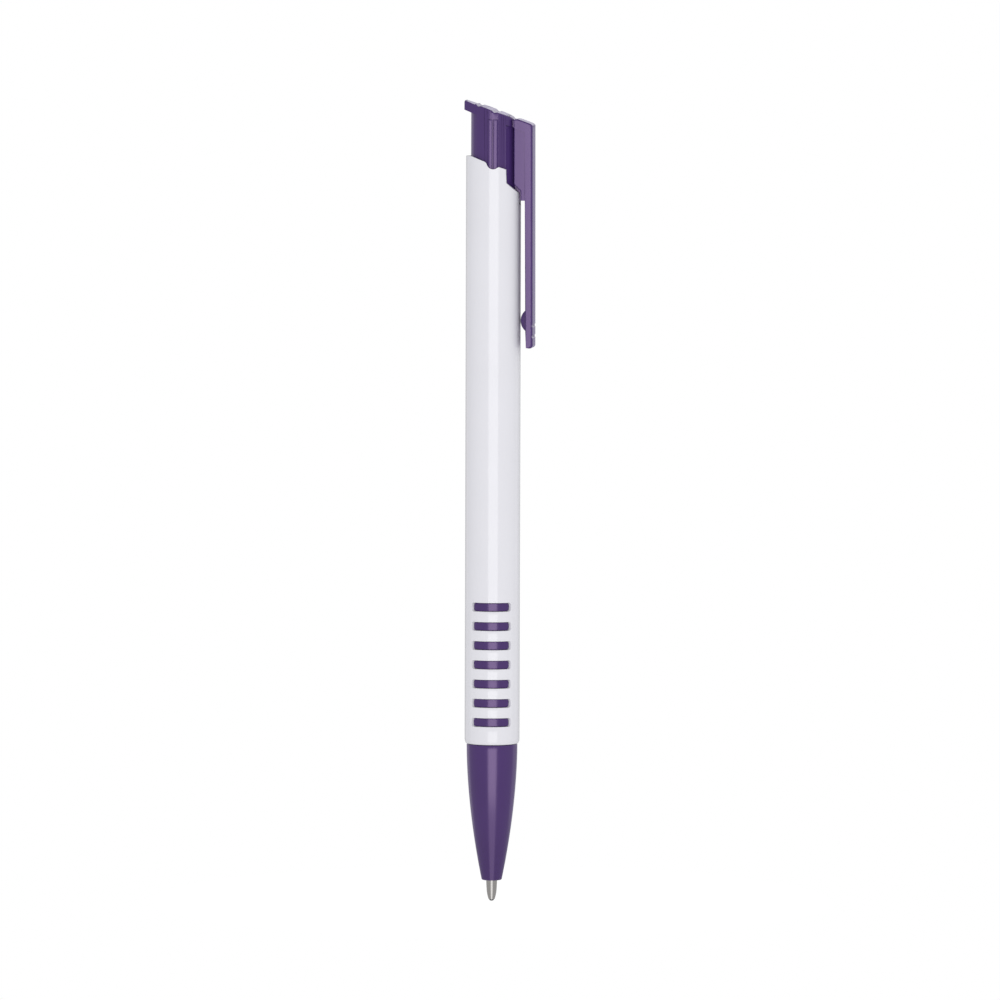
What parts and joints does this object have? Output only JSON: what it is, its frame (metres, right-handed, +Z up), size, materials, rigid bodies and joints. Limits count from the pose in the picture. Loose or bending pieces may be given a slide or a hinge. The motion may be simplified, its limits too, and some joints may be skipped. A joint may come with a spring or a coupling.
{
  "type": "retractable ballpoint pen",
  "caption": "Click ballpoint pen: plain barrel with slotted grip, pointed nose, and a push button moulded with its pocket clip that slides as one to extend or retract the refill.",
  "frame": {"origin": "lowest point of the writing ball, on the barrel's axis, with the point out", "axes": "+Z up along the pen from the point to the button, +X from the axis towards the clip"},
  "size_m": [0.0121, 0.0098, 0.1422],
  "materials": {
    "barrel": "smooth white, soft gloss",
    "trim": "purple, soft gloss",
    "nose": "purple, soft gloss",
    "clip": "purple, soft gloss",
    "mechanism": "natural white",
    "spring_steel": "drawn wire",
    "refill_plastic": "translucent",
    "ink": "blue ink paste",
    "grease": "clear amber grease",
    "point_metal": "bright turned metal",
    "ball_metal": "polished dark ball"
  },
  "bodies": {
    "barrel": {"barrel": "barrel", "grip_sleeve": "trim", "nose_cone": "nose", "cam_guide": "mechanism", "spring": "spring_steel"},
    "pusher": {"pusher_clip": "clip", "plunger": "mechanism"},
    "refill": {"refill_tube": "refill_plastic", "refill_tip_holder": "refill_plastic", "refill_ink": "ink", "refill_follower": "grease", "refill_point": "point_metal"},
    "rotor": {"cam_rotor": "mechanism"},
    "ball": {"writing_ball": "ball_metal"}
  },
  "joints": [
    {"name": "pusher_slide", "type": "slide", "parent": "barrel", "child": "pusher", "axis": [0, 0, 1], "range_m": [-0.0006, 0.005]},
    {"name": "refill_slide", "type": "slide", "parent": "barrel", "child": "refill", "axis": [0, 0, 1], "range_m": [-0.0006, 0.005], "deforming": ["spring"]},
    {"name": "rotor_turn", "type": "hinge", "parent": "refill", "child": "rotor", "pos_m": [0, 0, 0.107], "axis": [0, 0, 1], "range_deg": [-5.4, 45]},
    {"name": "ball_roll", "type": "hinge", "parent": "refill", "child": "ball", "pos_m": [0, 0, 0.0005], "axis": [1, 0, 0], "continuous": true}
  ],
  "couplings": [
    {"joint": "refill_slide", "follows": "pusher_slide", "ratio": 1},
    {"joint": "rotor_turn", "follows": "pusher_slide", "rad_per_m": 157.08}
  ]
}
